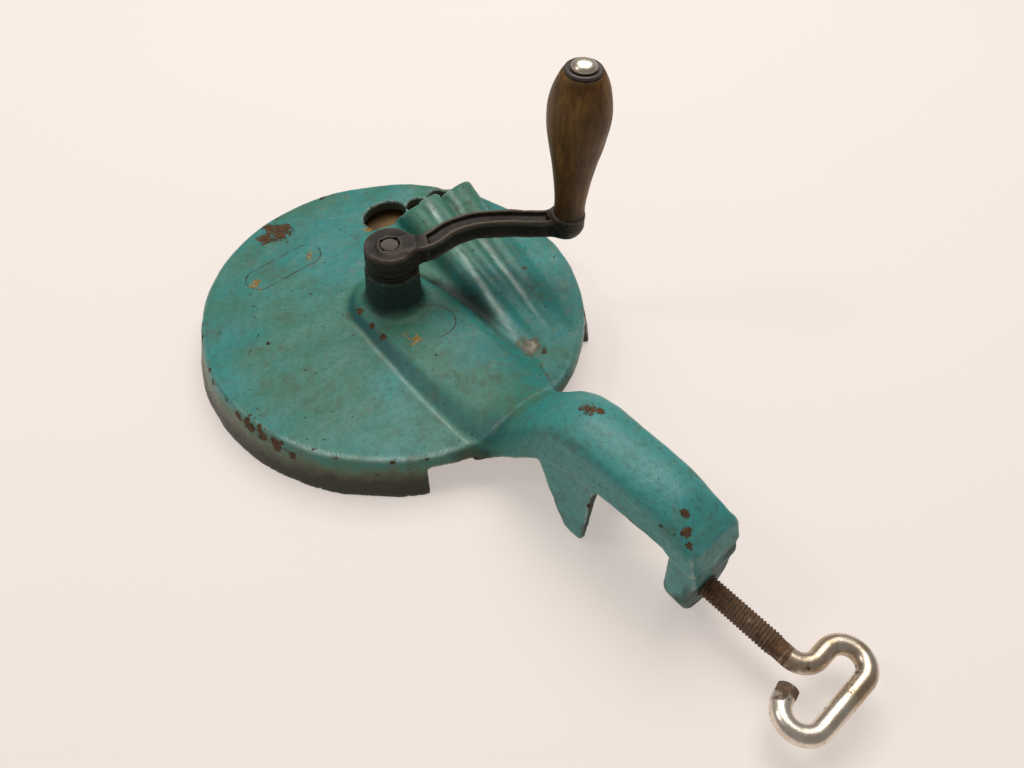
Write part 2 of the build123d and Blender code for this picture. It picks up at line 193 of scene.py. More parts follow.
def smooth_curve(points, step=0.25):
    """Dense points of a smooth cubic through the given points."""
    points = np.asarray(points, float)
    gaps = np.maximum(np.linalg.norm(np.diff(points, axis=0), axis=1), 1e-6)
    place = np.concatenate(([0], np.cumsum(gaps)))
    slopes = np.gradient(points, place, axis=0, edge_order=1)
    dense = []
    for i, gap in enumerate(gaps):
        t = np.linspace(0, 1, max(2, int(gap / step)), endpoint=False)[:, None]
        blend_a = 2 * t**3 - 3 * t**2 + 1
        blend_b = t**3 - 2 * t**2 + t
        blend_c = 3 * t**2 - 2 * t**3
        blend_d = t**3 - t**2
        dense.append(blend_a * points[i] + blend_b * gap * slopes[i]
                     + blend_c * points[i + 1] + blend_d * gap * slopes[i + 1])
    dense.append(points[-1:])
    return np.concatenate(dense)


def waviness(x, y, z, wavelength, seed, waves=10):
    """Smooth noise of about unit height from waves in fixed pseudo-random directions."""
    random = np.random.default_rng(seed)
    total = 0.0
    for _ in range(waves):
        direction = random.normal(size=3)
        direction *= 2 * math.pi / (wavelength * random.uniform(0.7, 1.5)) / np.linalg.norm(direction)
        phase = random.uniform(0, 2 * math.pi)
        total = total + np.sin(x * direction[0] + y * direction[1] + z * direction[2] + phase)
    return total / math.sqrt(waves)


# Distance-field modelling

def join(a, b, blend):
    """Union of two distances with a fillet about as large as blend."""
    share = np.clip(0.5 + 0.5 * (b - a) / blend, 0, 1)
    return b + (a - b) * share - blend * share * (1 - share)


def meet(a, b, blend):
    """Intersection of two distances with a rounded edge."""
    return -join(-a, -b, blend)


def carve(a, b, blend):
    """What is left of a outside b, with a rounded edge."""
    return meet(a, -b, blend)


def polygon_distance(u, v, corners):
    """Signed distance in a plane to a closed polygon."""
    best = np.full(u.shape, 1e9, np.float32)
    side = np.ones(u.shape, bool)
    for (u0, v0), (u1, v1) in zip(corners, corners[1:] + corners[:1]):
        du, dv = u1 - u0, v1 - v0
        t = np.clip(((u - u0) * du + (v - v0) * dv) / (du * du + dv * dv), 0, 1)
        best = np.minimum(best, np.hypot(u - u0 - t * du, v - v0 - t * dv))
        if dv:
            crosses = (v0 > v) != (v1 > v)
            side ^= crosses & (u < du * (v - v0) / dv + u0)
    return np.where(side, best, -best)


def surface_nets(distance, low, high, step):
    """Quad mesh of a distance field's zero surface, and its vertices moved onto it."""
    axes = [np.arange(a - 2 * step, b + 3 * step, step, dtype=np.float32) for a, b in zip(low, high)]
    origin = np.array([a[0] for a in axes])
    values = distance(*np.meshgrid(*axes, indexing="ij"))
    inside = values < 0
    cells = tuple(n - 1 for n in values.shape)
    corners = [(i, j, k) for i in (0, 1) for j in (0, 1) for k in (0, 1)]

    def corner(array, offset):
        return array[tuple(slice(o, o + n) for o, n in zip(offset, cells))]

    count = sum(corner(inside, c).astype(np.int8) for c in corners)
    active = (count > 0) & (count < 8)
    index = np.full(cells, -1, np.int64)
    index[active] = np.arange(active.sum())
    where = np.argwhere(active)
    total, crossings = np.zeros(where.shape), np.zeros(len(where))
    for a in corners:
        for axis in range(3):
            if a[axis]:
                continue
            b = tuple(1 if i == axis else a[i] for i in range(3))
            value_a, value_b = corner(values, a)[active], corner(values, b)[active]
            cross = (value_a < 0) != (value_b < 0)
            share = np.where(cross, value_a / np.where(cross, value_a - value_b, 1), 0)
            place = where + np.array(a) + share[:, None] * np.eye(3)[axis]
            total += np.where(cross[:, None], place - where, 0)
            crossings += cross
    points = origin + (where + total / crossings[:, None]) * step
    quads = []
    for axis in range(3):
        one, two = (axis + 1) % 3, (axis + 2) % 3
        here = [slice(1, -1)] * 3
        here[axis] = slice(0, -1)
        ahead = list(here)
        ahead[axis] = slice(1, None)
        first, second = inside[tuple(here)], inside[tuple(ahead)]
        for mask, flip in ((first & ~second, False), (~first & second, True)):
            at = np.argwhere(mask) + np.array([0 if i == axis else 1 for i in range(3)])
            ring = []
            for d_one, d_two in ((0, 0), (1, 0), (1, 1), (0, 1)):
                shift = np.zeros(3, int)
                shift[one], shift[two] = -d_one, -d_two
                ring.append(index[tuple((at + shift).T)])
            quad = np.stack(ring, -1)
            quads.append(quad[:, ::-1] if flip else quad)
    return settle(points, distance, step), np.concatenate(quads)


def gradient(points, distance, reach):
    """Central-difference gradient of a distance field."""
    parts = []
    for axis in range(3):
        shift = np.eye(3)[axis] * reach
        parts.append(distance(*(points + shift).T) - distance(*(points - shift).T))
    return np.stack(parts, -1) / (2 * reach)


def settle(points, distance, step):
    """Move points onto the zero surface."""
    for _ in range(4):
        slope = gradient(points, distance, 0.08)
        length = np.maximum((slope**2).sum(1), 0.05)
        move = slope * (distance(*points.T) / length)[:, None]
        size = np.linalg.norm(move, axis=1, keepdims=True)
        points = points - move * np.minimum(1, 0.4 * step / np.maximum(size, 1e-9))
    return points


def bend(points, distance, reach):
    """How convex (positive) or hollow (negative) the surface is, per millimetre."""
    total = -6 * distance(*points.T)
    for axis in range(3):
        shift = np.eye(3)[axis] * reach
        total = total + distance(*(points + shift).T) + distance(*(points - shift).T)
    return total / reach**2


def field_object(name, distance, low, high, step):
    """Object of a distance field, with its edges and creases as vertex numbers."""
    points, faces = surface_nets(distance, low, high, step)
    obj = make_object(name, points, faces)
    curve = bend(points, distance, 1.2)
    set_attribute(obj, "edge", np.clip(curve, 0, 1))
    set_attribute(obj, "crease", np.clip(-curve, 0, 1))
    return obj, points


# Housing

def drum_shape(x, y, z, radius):
    """Face plate and skirt, with the gap around the arm."""
    lean = 5.0 / FACE_TOP
    side = ((radius - RIM_RADIUS) + lean * z) / math.hypot(1, lean)
    outside = meet(meet(side, z - FACE_TOP, 2.0), -z, 0.8)
    cavity = meet(side + SKIRT_WALL, z - (FACE_TOP - PLATE), 2.5)
    shell = carve(outside, cavity, 0.8)
    start = x * math.sin(GAP_START) - y * math.cos(GAP_START)
    end = y * math.cos(GAP_END) - x * math.sin(GAP_END)
    gap = meet(meet(meet(start, end, 2.0), z - GAP_TOP, 3.0), EDGE_RADIUS - SKIRT_WALL - 3 - radius, 1.0)
    return carve(shell, gap, 1.2)


def spine_limit(x, y):
    """Greatest half width of the web: drawn in on the +X side, where the drum's edge passes."""
    drawn = np.interp(y, (-90, -70), (19.0, SPINE_SIDE)).astype(np.float32)
    return np.where(x > 0, drawn, SPINE_SIDE)


def spine_shape(x, y, z):
    """Raised web with sloping sides and a round head."""
    across = np.where(y > 0, np.hypot(x, y), np.abs(x))
    profile = loft_profile(y)
    web = meet(loft_section(across, z, profile, 0, 0.9), across - spine_limit(x, y), 0.8)
    return meet(meet(web, -88 - y, 3.0), profile[0] - z, 0.5)


def boss_shape(radius, z):
    """Slightly tapered shaft boss."""
    taper = 0.03
    side = radius - BOSS_RADIUS - (BOSS_TOP - z) * taper
    return meet(meet(side, z - BOSS_TOP, 1.0), FACE_TOP - 4 - z, 0.5)


def flute_axis(flute, x, y, z):
    """Distance from a flute's axis line and the flute's radius there."""
    mouth_x, mouth_y, mouth_r, tail_x, tail_r = flute[:5]
    mouth = np.array((mouth_x, mouth_y, FLUTE_CREST - mouth_r))
    tail = np.array((tail_x, FLUTE_TAIL_Y, FACE_TOP + 0.6 - tail_r))
    along = tail - mouth
    mouth, along = mouth - along * 0.15, along * 1.15
    u = (x - mouth[0]) * along[0] + (y - mouth[1]) * along[1] + (z - mouth[2]) * along[2]
    u = np.clip(u / (along @ along), 0, 1)
    off = [c - m - u * a for c, m, a in zip((x, y, z), mouth, along)]
    share = np.clip((u * 1.15 - 0.15), 0, 1)
    return np.sqrt(off[0]**2 + off[1]**2 + off[2]**2), mouth_r + (tail_r - mouth_r) * share


def mouth_plane(flute, y, z):
    """Leaning plane that cuts a flute's mouth, positive in front of it."""
    return ((y - flute[5]) * 14 + (z - FACE_TOP) * 10) / math.hypot(14, 10)


def flutes_shape(x, y, z):
    """The three hoods together."""
    hoods = None
    for flute in FLUTES:
        off, radius = flute_axis(flute, x, y, z)
        hood = meet(off - radius, mouth_plane(flute, y, z), 2.4)
        hoods = hood if hoods is None else join(hoods, hood, 4.0)
    return meet(hoods, FACE_TOP - 4.5 - z, 0.5)


def channels_shape(x, y, z):
    """Hollows of the flutes and the entries in the face plate in front of them."""
    hollow = None
    for flute, (entry_x, entry_y, half_x, half_y) in zip(FLUTES, ENTRIES):
        off, radius = flute_axis(flute, x, y, z)
        channel = meet(off - radius + FLUTE_WALL, -46 - y, 1.0)
        u, v = (x - entry_x) / half_x, (y - entry_y) / half_y
        entry = (np.sqrt(u * u + v * v) - 1) * min(half_x, half_y)
        entry = meet(entry, z - FACE_TOP - 9, 0.5)
        channel = join(channel, entry, 1.0)
        hollow = channel if hollow is None else np.minimum(hollow, channel)
    return hollow


LOFT_TABLE = smooth_curve(LOFT)[::-1]


def loft_profile(y):
    """Lower side, crown, half widths and crown height of the spine and arm at y."""
    return [np.interp(y, LOFT_TABLE[:, 0], LOFT_TABLE[:, i]).astype(np.float32) for i in range(1, 6)]


def loft_side(z, profile):
    """Half width at height z."""
    low, crown, wide, narrow, rise = profile
    lean = (wide - narrow) / (crown - rise - low)
    return narrow + (crown - rise - z) * lean, lean


def loft_section(across, z, profile, inset, blend):
    """Section of the spine or arm: flaring sides under a crowned top."""
    crown, narrow, rise = profile[1], profile[3], profile[4]
    half, lean = loft_side(z, profile)
    side = (across - half + inset) / np.sqrt(1 + lean**2)
    top = z - crown + inset + rise * (across / narrow)**2
    top = top / np.sqrt(1 + (2 * rise * across / narrow**2)**2)
    return meet(side, top, blend)


def arm_shape(x, y, z):
    """Channel-section arm with its rounded end."""
    profile = loft_profile(y)
    across = np.abs(x)
    rounding = np.interp(y, (-115, -90), (3.4, 0.9)).astype(np.float32)
    outside = meet(loft_section(across, z, profile, 0, rounding), profile[0] - z, 1.2)
    outside = meet(outside, across - spine_limit(x, y), 0.8)
    inside = meet(loft_section(across, z, profile, ARM_WALL, 4.0), y + 98, 3.0)
    inside = meet(inside, LEG_INNER_Y + 1 - y, 3.0)
    arm = carve(meet(outside, y + 84, 1.0), inside, 1.0)
    return meet(arm, end_planes(y, z), 1.4)


def end_planes(y, z):
    """Outer face of the leg: set back round the screw, then upright, then leaning back twice."""
    share = np.clip((z - 27) / 5, 0, 1)
    face = LEG_OUTER_Y + 1.2 - y - 1.2 * share * share * (3 - 2 * share)
    lean = math.radians(18)
    upper = -(y - LEG_OUTER_Y) * math.cos(lean) + (z - 31) * math.sin(lean)
    crest = (-178 - y) * 0.52 + (z - 58.6) * 0.857
    return meet(meet(face, upper, 1.5), crest, 3.0)


def leg_shape(x, y, z):
    """Screw leg, rounded below about the screw's axis."""
    drop = np.minimum(z - SCREW_AXIS[2], 0)
    side = np.hypot(x, drop * 0.9) - LEG_ROUND - np.maximum(z - SCREW_AXIS[2], 0) * 0.025
    inner = (y - LEG_INNER_Y) + (SCREW_AXIS[2] + 6 - z) * 0.05
    leg = meet(meet(side, inner, 4.0), z - 48, 2.0)
    return meet(leg, end_planes(y, z), 1.6)


def fins_shape(x, y, z):
    """Pair of pointed fins under the arm's sides, thinner towards their tips."""
    side = polygon_distance(y, z, [tuple(map(float, p)) for p in FIN_SIDE])
    outer = np.minimum(loft_side(z, loft_profile(y))[0], FIN_OUTER) - 0.25
    half = 1.1 + np.clip(z, 0, 45) * 0.034
    blade = np.abs(np.abs(x) - outer + half) - half
    return meet(side, blade, 1.2)


def housing_shape(x, y, z):
    """The whole casting."""
    radius = np.hypot(x, y)
    clamp = join(join(arm_shape(x, y, z), leg_shape(x, y, z), 3.0), fins_shape(x, y, z), 1.2)
    body = join(drum_shape(x, y, z, radius), np.minimum(spine_shape(x, y, z), clamp), 1.0)
    body = join(body, boss_shape(radius, z), 6.0)
    body = join(body, flutes_shape(x, y, z), 6.0)
    body = carve(body, channels_shape(x, y, z), 0.8)
    body = np.maximum(body, -meet(radius - 86, z - (FACE_TOP - PLATE), 0.5))
    body = carve(body, radius - 6.05, 0.6)
    bore = np.maximum(np.hypot(x, z - SCREW_AXIS[2]) - 4.9, y - LEG_INNER_Y - 8)
    body = carve(body, bore, 0.6)
    body = body + 0.16 * waviness(x, y, z, 26, 3) + 0.05 * waviness(x, y, z, 7, 5)
    return np.maximum(body, RIM_CLEAR - z)


def build_housing():
    """Housing mesh, with the numbers that its enamel reads."""
    obj, points = field_object("cast_housing", housing_shape, HOUSING_LOW, HOUSING_HIGH, 1.15)
    radius = np.hypot(points[:, 0], points[:, 1])
    below = np.clip((FACE_TOP - PLATE + 1.2 - points[:, 2]) * 0.8, 0, 1)
    inner = below * np.clip(EDGE_RADIUS + 1 - radius, 0, 1)
    channel = np.clip(0.6 - channels_shape(*points.T), 0, 1) * (points[:, 2] < FACE_TOP + 12)
    set_attribute(obj, "bare", np.maximum(np.maximum(inner, channel), arm_hollow(points)))
    set_attribute(obj, "soil_and_shade", grime_and_shade(points))
    # Painted shade on the slopes that lean to -X.
    set_attribute(obj, "shade", shaded_wall(points))
    # Painted highlight lines along the web's foot, two flute crests and the front rim.
    set_attribute(obj, "sheen", painted_highlight_lines(points))
    return obj


def painted_highlight_lines(points):
    """1 on painted highlights: thin pale lines along the web's foot and two flute crests, and along the front rim,
    where the enamel is also a little worn.
    """
    x, y, z = points.T
    foot = np.interp(y, (-86, -62, -40, 0), (27.6, 27.2, 26.4, 23.0))
    foot = np.exp(-((x + foot + 0.6) / 0.8)**2) * np.clip((6 - y) / 10, 0, 1) * np.clip((y + 88) / 3, 0, 1)
    foot = foot * (np.abs(z - FACE_TOP) < 1.5) * 0.5
    fade = np.clip((66 - np.abs(y)) / 25, 0, 1) * np.clip((45 - y) / 12, 0, 1)
    crests = 0.0
    for start, lean, reach in ((42.0, 0.245, 1.7), (57.5, 0.225, 1.4)):
        crests = np.maximum(crests, fade * np.exp(-((x - start - lean * y) / reach)**2))
    radius, bearing = np.hypot(x, y), np.degrees(np.arctan2(y, x))
    rim = np.exp(-((radius - EDGE_RADIUS + 0.7) / 0.8)**2) * (z > FACE_TOP - 2)
    rim = rim * np.interp(bearing, (-180, -165, -150, -115, -108), (0.3, 0.6, 1, 1, 0.3), right=0.25)
    return np.maximum.reduce([foot, crests * 0.9 * (z > FACE_TOP), rim])


def shaded_wall(points):
    """1 on the slopes of the web and flutes that lean to -X, away from the light: painted shade."""
    x, y, z = points.T
    slope = gradient(points, housing_shape, 0.6)
    lean = np.clip((-slope[:, 0] - 0.22) / 0.30, 0, 1)
    band = np.clip((z - FACE_TOP - 0.2) / 0.6, 0, 1) * np.clip((y + 100) / 8, 0, 1)
    clear = np.clip((np.hypot(x, y) - 17) / 3, 0, 1)
    web = (x < 0) * np.clip((34 - z) / 3, 0, 1)
    flute = (x > 0) * np.clip((24 - y) / 20, 0, 1) * 0.6
    return lean * band * clear * (web + flute)


def arm_hollow(points):
    """1 on the inside of the arm's channel, 0 outside."""
    x, y, z = points.T
    depth = -loft_section(np.abs(x), z, loft_profile(y), 0, 4.0)
    return np.clip(depth - ARM_WALL + 1.5, 0, 1) * (y < -100) * (y > LEG_INNER_Y)


def grime_and_shade(points):
    """How dark the enamel is made: grime round the boss with painted shade under the hub, the crank's painted
    shadow in the valley beside the first flute, painted shade under the face's corners by the arm, and darker low
    on the arm, at the clamp and round the screw.
    """
    x, y, z = points.T
    radius = np.hypot(x, y)
    # Boss: grime, with painted shade under the hub.
    boss = np.clip((19.0 - radius) / 6, 0, 1) * np.clip((z - FACE_TOP - 3) / 3, 0, 1)
    boss = boss * np.clip((z - 28) / 16 + 0.72, 0, 1)
    # Painted shadow of the crank, in the valley beside the first flute.
    valley_shadow = np.exp(-((x - 27.5 + 0.006 * (y + 26)**2) / 5.0)**2)
    valley_shadow = valley_shadow * np.clip((34 - np.abs(y + 18)) / 18, 0, 1) * np.clip((32 - z) / 3, 0, 1)
    screw = np.clip((17 - np.hypot(x, z - SCREW_AXIS[2] - 4)) / 7, 0, 1) * (y < LEG_OUTER_Y + 3) * 0.8
    end = np.clip((40 + 0.4 * x - z) / 8, 0, 1) * np.clip((LEG_OUTER_Y + 6 - y) / 2, 0, 1) * 0.75
    low = np.clip((30 - z) / 10, 0, 1) * np.clip((-104 - y) / 6, 0, 1) * (y > JAW_Y + 1) * 0.25
    leg = np.clip((26 - z) / 10, 0, 1) * (y < -150) * np.clip((LEG_OUTER_Y + 9 - y) / 3, 0, 1) * 0.8
    jaw = np.clip((JAW_Y + 0.7 - y) / 0.5, 0, 1) * (y > JAW_Y - 2) * np.clip((38 - z) / 4, 0, 1)
    # Painted shade under the face's corners, where the arm leaves the drum.
    corner = np.clip((16 - np.hypot(np.abs(x) - 27, y + 88)) / 10, 0, 1) * np.clip((24 - z) / 5, 0, 1)
    return np.maximum.reduce([boss, valley_shadow, screw, end, low, leg, jaw, corner * 0.8])


# Crank

def crank_bar_distance(x, y, line):
    """Distance in plan from the bar's centre line."""
    best = np.full(x.shape, 1e9, np.float32)
    for (x0, y0), (x1, y1) in zip(line[:-1], line[1:]):
        dx, dy = x1 - x0, y1 - y0
        t = np.clip(((x - x0) * dx + (y - y0) * dy) / (dx * dx + dy * dy), 0, 1)
        best = np.minimum(best, np.hypot(x - x0 - t * dx, y - y0 - t * dy))
    return best


def crank_shape(x, y, z):
    """Crank in its own frame: hub, grooved bar and end boss."""
    line = smooth_curve(CRANK_LINE, 2.5)
    off = crank_bar_distance(x, y, line)
    radius = np.hypot(x, y)
    hub_wall = np.interp(z, HUB_HEIGHTS, HUB_RADII).astype(np.float32)
    hub = meet(meet(radius - hub_wall, z - CRANK_TOP, 1.1), CRANK_LOW[2] - z, 0.8)
    bar = meet(meet(off - CRANK_HALF, z - CRANK_TOP, 1.4), CRANK_UNDER - z, 2.2)
    end_off = np.hypot(x - CRANK_REACH, y)
    foot = np.sqrt(end_off**2 + (np.minimum(z - 56.5, 0) * 1.12)**2) - END_BOSS_RADIUS
    end = meet(foot, z - CRANK_HIGH[2], 1.0)
    groove_run = np.maximum(17.5 - x, x - (CRANK_REACH - 9.5))
    groove = meet(np.maximum(off - 2.9, groove_run), CRANK_TOP - 2.4 - z, 1.6)
    flank = meet(np.maximum(CRANK_HALF - 1.0 - off, groove_run), np.abs(z - 55.0) - 2.6, 1.6)
    bar = carve(carve(bar, groove, 1.0), flank, 1.4)
    body = join(join(bar, hub, 3.0), end, 4.0)
    body = carve(body, meet(radius - 4.7, CRANK_TOP - 1.15 - z, 0.3), 0.6)
    body = np.maximum(body, -np.maximum(np.abs(x), np.abs(y)) + 4.0)
    body = np.maximum(body, 3.2 - end_off)
    return body + 0.1 * waviness(x, y, z, 9, 11) + 0.03 * waviness(x, y, z, 2.6, 12)


def build_crank():
    """Crank mesh turned to its resting direction."""
    low = np.array((-13.5, -13.5, CRANK_LOW[2] - 0.5))
    high = np.array((CRANK_REACH + 9, 15.0, CRANK_HIGH[2] + 0.5))
    obj, _ = field_object("cast_crank", crank_shape, low, high, 0.55)
    obj.data.transform(Matrix.Rotation(CRANK_ANGLE, 4, "Z"))
    return obj


# Turned pieces

def lathe_object(name, outline, centre, sides=96, bumps=0.0, seed=1):
    """Solid turned about a vertical axis from (radius, height) points, closed at both ends."""
    angles = np.linspace(0, 2 * math.pi, sides, endpoint=False)
    rings = []
    for radius, height in outline:
        ring = (radius * np.cos(angles), radius * np.sin(angles), np.full(sides, height))
        rings.append(np.stack(ring, -1))
    points = np.concatenate(rings)
    lumps = 1 + bumps * waviness(points[:, 0], points[:, 1], points[:, 2], 14, seed)
    points[:, :2] *= lumps[:, None]
    faces = grid_faces(len(outline), sides)
    obj = make_object(name, points + np.array((centre[0], centre[1], 0)), faces[:, ::-1])
    close_ends(obj)
    return obj


def close_ends(obj):
    """Merge doubled points and point every face outwards."""
    work = bmesh.new()
    work.from_mesh(obj.data)
    bmesh.ops.remove_doubles(work, verts=work.verts, dist=1e-6)
    bmesh.ops.recalc_face_normals(work, faces=work.faces)
    work.to_mesh(obj.data)
    work.free()
    obj.data.shade_smooth()


def build_grip():
    """Turned grip: waisted foot, full belly and a small shoulder."""
    base, top = GRIP_LOW[2], GRIP_HIGH[2]
    shape = ((7.3, 0), (7.25, 4), (7.7, 11), (8.7, 19), (10.3, 29), (12.5, 40), (13.9, 50), (14.0, 57),
             (12.8, 64), (10.9, 69.5), (8.9, 73.6))
    curve = smooth_curve(shape, 0.8)
    outline = [(3.3, base), (6.9, base), (7.2, base + 0.3)]
    outline += [(r, base + 0.5 + h) for r, h in curve if base + 0.5 + h < top - 0.4]
    outline += [(8.3, top - 0.1), (7.9, top), (3.3, top)]
    return lathe_object("turned_grip", outline + outline[:1], GRIP_AXIS, 112, 0.006, 21)


def build_cap():
    """Dished washer under the spindle's head."""
    base, top = CAP_LOW[2], CAP_HIGH[2]
    outline = ((3.3, base), (8.0, base), (8.25, base + 0.3), (8.2, top - 0.5), (7.6, top), (6.6, top - 0.1),
               (6.0, top - 0.45), (5.0, top - 0.5), (3.3, top - 0.5), (3.3, base))
    return lathe_object("dished_washer", outline, GRIP_AXIS, 80, 0.004, 22)


def build_spindle():
    """Spindle with a domed head."""
    seat, top = CAP_HIGH[2] - 0.48, SPINDLE_HIGH[2]
    head = [(5.5 * math.cos(a), seat + 0.7 + (top - seat - 0.7) * math.sin(a))
            for a in np.linspace(0, math.pi / 2, 12)]
    foot = SPINDLE_LOW[2]
    outline = [(0.0, foot), (2.4, foot + 0.1), (3.15, foot + 0.7), (3.15, seat), (5.3, seat)] + head
    return lathe_object("domed_spindle", outline, GRIP_AXIS, 64, 0.008, 23)


# Clamp screw

def loop_line():
    """Centre line of the bent end, from the thread outwards."""
    bend_radius = (LOOP_NEAR_Y - LOOP_FAR_Y) / 2
    middle = (LOOP_NEAR_Y + LOOP_FAR_Y) / 2
    points = [(0.0, y) for y in np.arange(THREAD_END_Y, THREAD_END_Y - 5.0, -1.0)]
    points += [(8.0 - 8.0 * math.cos(a), -236.2 - 8.0 * math.sin(a)) for a in np.linspace(0.1, 1.45, 9)]
    points += [(x, LOOP_NEAR_Y) for x in np.linspace(9.5, LOOP_RIGHT - 0.8, 3)]
    points += [(LOOP_RIGHT + bend_radius * math.sin(a), middle + bend_radius * math.cos(a))
               for a in np.linspace(0.08, math.pi - 0.08, 15)]
    points += [(x, LOOP_FAR_Y) for x in np.linspace(LOOP_RIGHT - 1, LOOP_LEFT + 1, 12)]
    points += [(LOOP_LEFT - bend_radius * math.sin(a), middle - bend_radius * math.cos(a))
               for a in np.linspace(0.08, math.pi - 0.25, 15)]
    points += [(-12.6, LOOP_NEAR_Y + 0.15), (-9.6, LOOP_NEAR_Y + 0.9)]
    return [(x, y, SCREW_AXIS[2]) for x, y in points]


def screw_line():
    """Centre line of the whole rod: the straight thread, then the loop."""
    rows = np.arange(SCREW_AXIS[1], THREAD_END_Y, -0.12)
    straight = np.stack([np.zeros(len(rows)), rows, np.full(len(rows), SCREW_AXIS[2])], -1)
    return np.concatenate([straight, smooth_curve(loop_line(), 0.7)])


def thread_height(steps, angles):
    """Height of the thread's ridge for each ring and angle, from 0 at the root to 1 at the crest."""
    phase = (steps[:, None] / PITCH + angles[None, :] / (2 * math.pi)) % 1.0
    ridge = 1 - np.abs(phase * 2 - 1)
    return 0.5 - 0.5 * np.cos(math.pi * np.clip(ridge * 1.3 - 0.1, 0, 1))


def rod_radius(line, steps, angles, thread_length):
    """Radius for each ring and angle: threaded, then plain wire that wavers a little."""
    threaded = np.clip((thread_length + 0.5 - steps) / 2.0, 0, 1) * np.clip(steps / 1.2 + 0.3, 0, 1)
    threaded = threaded[:, None]
    thread = THREAD_ROOT + THREAD_DEPTH * thread_height(steps, angles)
    radius = threaded * thread + (1 - threaded) * WIRE_RADIUS
    wobble = waviness(line[:, 0], line[:, 1], line[:, 2], 30, 31)
    return radius * (1 + 0.012 * wobble[:, None] * (1 - threaded))


def closing_rings(ring, centre, middle):
    """Two rings that close a tube's end: one drawn in, one shrunk to a point."""
    return [middle + (ring - centre) * share for share in (0.85, 0.0)]


def build_screw():
    """Threaded rod running into a bent loop, as one tube."""
    line = screw_line()
    steps = np.concatenate(([0], np.cumsum(np.linalg.norm(np.diff(line, axis=0), axis=1))))
    thread_length = SCREW_AXIS[1] - THREAD_END_Y
    tangent = np.gradient(line, axis=0)
    tangent /= np.linalg.norm(tangent, axis=1, keepdims=True)
    up = np.array((0.0, 0.0, 1.0))
    side = np.cross(tangent, up)
    side /= np.linalg.norm(side, axis=1, keepdims=True)
    angles = np.linspace(0, 2 * math.pi, SCREW_SIDES, endpoint=False)
    radius = rod_radius(line, steps, angles, thread_length)
    flat = 1 - 0.05 * np.clip((steps - thread_length - 4) / 6, 0, 1)
    around = (radius * np.cos(angles))[:, :, None] * side[:, None, :]
    over = (radius * np.sin(angles) * flat[:, None])[:, :, None] * up
    rings = line[:, None, :] + around + over
    start_near, start_point = closing_rings(rings[0], line[0], line[0])
    end_near, end_point = closing_rings(rings[-1], line[-1], line[-1] + 0.5 * tangent[-1])
    stack = [start_point, start_near, *rings, end_near, end_point]
    obj = make_object("bent_screw", np.concatenate(stack), grid_faces(len(stack), SCREW_SIDES))
    close_ends(obj)
    thread_rust = np.clip((thread_length + 14 - steps) / 12, 0, 1)
    tip_rust = np.clip((steps - steps[-1] + 10) / 8, 0, 1)
    mark_screw(obj, line, np.maximum(thread_rust, tip_rust))
    return obj


def mark_screw(obj, line, rust):
    """Rust number for each vertex, from the nearest point of the centre line."""
    points = np.array([v.co for v in obj.data.vertices]) / MM
    values = np.zeros(len(points))
    for start in range(0, len(points), 4000):
        chunk = points[start:start + 4000]
        gaps = ((chunk[:, None, :] - line[None, ::4, :])**2).sum(-1)
        values[start:start + 4000] = rust[::4][gaps.argmin(1)]
    set_attribute(obj, "rust", values)


# Materials

